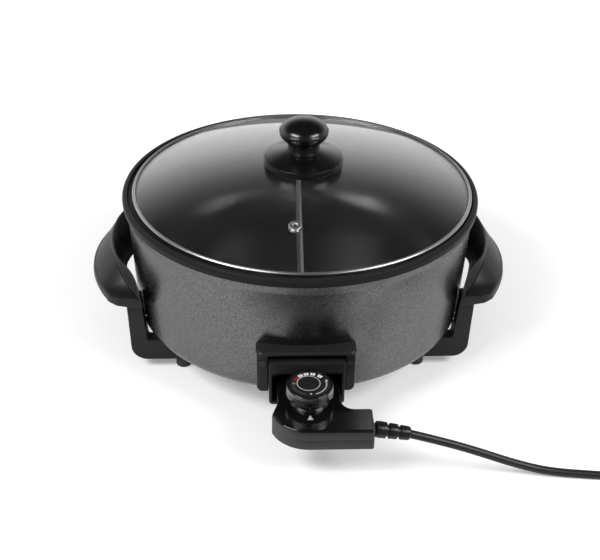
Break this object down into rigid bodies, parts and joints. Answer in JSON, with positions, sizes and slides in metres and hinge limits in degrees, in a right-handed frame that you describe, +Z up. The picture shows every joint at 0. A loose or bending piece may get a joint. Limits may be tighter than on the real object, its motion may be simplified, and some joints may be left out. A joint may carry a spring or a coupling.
{
  "type": "electric skillet",
  "caption": "Deep round electric skillet with a domed glass lid, a loose divider, crescent side grips on legs and a plug-in temperature controller with cord.",
  "frame": {"origin": "centre of the footprint on the table, measured without the cord: midway between the two grips and between the controller's front and the rim's back", "axes": "+Z up, -Y towards the controller, +X towards the side where the cord leaves"},
  "size_m": [0.6028, 0.4374, 0.2476],
  "materials": {
    "nonstick_coating": "satin",
    "hammered_enamel": "hammered",
    "galvanised_sheet": "satin",
    "cast_aluminium": "satin",
    "element_sheath": "satin",
    "steel_trim": "satin",
    "black_moulding": "fine grain",
    "plated_pin": "bright",
    "ceramic": "matt",
    "black_rubber": "matt",
    "divider_coating": "satin",
    "tempered_glass": "clear",
    "polished_steel": "polished",
    "gloss_moulding": "gloss",
    "controller_plastic": "semi-gloss",
    "brass_contact": "satin",
    "switch_plastic": "matt",
    "scale_print": "satin, printed",
    "cord_rubber": "matt"
  },
  "bodies": {
    "skillet": {"cooking_pan": "nonstick_coating", "outer_casing": "hammered_enamel", "base_plate": "galvanised_sheet", "heat_spreader": "cast_aluminium", "heating_element": "element_sheath", "element_clamps": "steel_trim", "reflector": "cast_aluminium", "centre_stud": "steel_trim", "stud_spacer": "steel_trim", "stud_nut": "steel_trim", "socket_shroud": "black_moulding", "socket_bracket": "black_moulding", "bracket_screws": "steel_trim", "terminal_pins": "plated_pin", "pin_bushes": "ceramic", "probe_guide": "cast_aluminium", "right_grip": "black_moulding", "left_grip": "black_moulding", "right_front_leg": "black_moulding", "right_rear_leg": "black_moulding", "left_front_leg": "black_moulding", "left_rear_leg": "black_moulding", "rubber_feet": "black_rubber", "grip_screws": "steel_trim", "leg_wall_screws": "steel_trim", "leg_base_screws": "steel_trim", "leg_nuts": "steel_trim"},
    "lid": {"lid_glass": "tempered_glass", "lid_ring": "polished_steel", "vent_grommet": "polished_steel", "knob_seal": "black_rubber", "knob_flange": "gloss_moulding", "knob_cap": "gloss_moulding", "knob_screw": "steel_trim"},
    "divider": {"divider": "divider_coating"},
    "controller": {"housing_lower": "controller_plastic", "housing_upper": "controller_plastic", "housing_screws": "steel_trim", "contact_sleeves": "brass_contact", "sensor_probe": "plated_pin", "thermostat_block": "switch_plastic", "dial_collar": "controller_plastic", "strain_relief": "cord_rubber", "cord_lead": "cord_rubber", "cord_coil": "cord_rubber", "cord_tail": "cord_rubber", "plug": "cord_rubber", "plug_pins": "plated_pin"},
    "dial": {"dial": "gloss_moulding", "dial_scale": "scale_print", "dial_shaft": "brass_contact"}
  },
  "joints": [
    {"name": "lid_lift", "type": "slide", "parent": "skillet", "child": "lid", "axis": [0, 0, 1], "range_m": [0, 0.2]},
    {"name": "divider_lift", "type": "slide", "parent": "skillet", "child": "divider", "axis": [0, 0, 1], "range_m": [0, 0.12]},
    {"name": "controller_pull", "type": "slide", "parent": "skillet", "child": "controller", "axis": [0, -1, 0], "range_m": [0, 0.1]},
    {"name": "dial_turn", "type": "hinge", "parent": "controller", "child": "dial", "pos_m": [0.0022, -0.17315, 0.078], "axis": [0, 0, 1], "range_deg": [0, 270]}
  ],
  "couplings": [
    {"joint": "divider_lift", "follows": "lid_lift", "ratio": 0.6}
  ]
}
